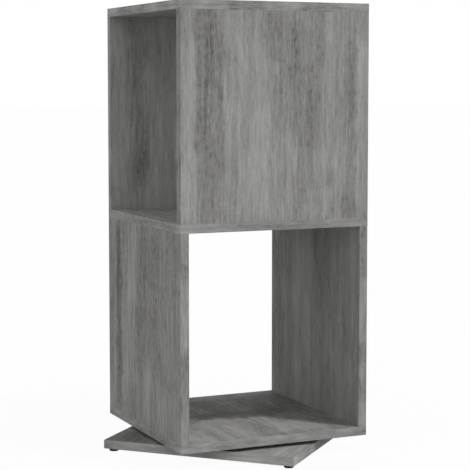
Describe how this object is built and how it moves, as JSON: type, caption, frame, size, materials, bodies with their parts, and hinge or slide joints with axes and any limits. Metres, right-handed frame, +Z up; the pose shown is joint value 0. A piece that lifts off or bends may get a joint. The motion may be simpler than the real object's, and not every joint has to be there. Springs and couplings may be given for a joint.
{
  "type": "rotating display cabinet",
  "caption": "Free-standing display cabinet of open cubes stacked a quarter turn apart, which turns on a square base board over a hidden ball-bearing turntable.",
  "frame": {"origin": "on the floor, on the vertical axis that the cabinet turns about, in the middle of the feet", "axes": "+Z up; -Y is the front, the way the upper closed front panel faces; +X to the right"},
  "size_m": [0.4878, 0.4878, 0.765],
  "materials": {
    "board_decor": "matt melamine with a printed grey weathered-oak grain, on particle board",
    "edging_decor": "edging strip printed with the same grey grain",
    "zinc_steel": "bright zinc-plated steel",
    "ring_aluminium": "turned aluminium",
    "ball_steel": "polished bearing steel, greased",
    "cage_nylon": "natural nylon",
    "foot_plastic": "black moulded plastic",
    "dowel_beech": "bare turned beech"
  },
  "bodies": {
    "base": {"base_panel": "board_decor", "base_edging": "edging_decor", "feet": "foot_plastic", "turntable_outer_ring": "ring_aluminium", "outer_ring_screws": "zinc_steel"},
    "ball_ring": {"ball_cage": "cage_nylon", "turntable_balls": "ball_steel"},
    "cabinet": {"bottom_panel": "board_decor", "middle_panel": "board_decor", "top_panel": "board_decor", "lower_left_panel": "board_decor", "lower_right_panel": "board_decor", "upper_front_panel": "board_decor", "upper_back_panel": "board_decor", "bottom_edging": "edging_decor", "middle_edging": "edging_decor", "top_edging": "edging_decor", "lower_left_edging": "edging_decor", "lower_right_edging": "edging_decor", "upper_front_edging": "edging_decor", "upper_back_edging": "edging_decor", "bottom_dowels": "dowel_beech", "middle_down_dowels": "dowel_beech", "middle_up_dowels": "dowel_beech", "top_dowels": "dowel_beech", "turntable_inner_ring": "ring_aluminium", "inner_ring_screws": "zinc_steel"}
  },
  "joints": [
    {"name": "cabinet_spin", "type": "hinge", "parent": "base", "child": "cabinet", "pos_m": [0, 0, 0.023], "axis": [0, 0, 1], "continuous": true},
    {"name": "ball_ring_spin", "type": "hinge", "parent": "base", "child": "ball_ring", "pos_m": [0, 0, 0.023], "axis": [0, 0, 1], "continuous": true}
  ],
  "couplings": [
    {"joint": "ball_ring_spin", "follows": "cabinet_spin", "ratio": 0.5}
  ]
}
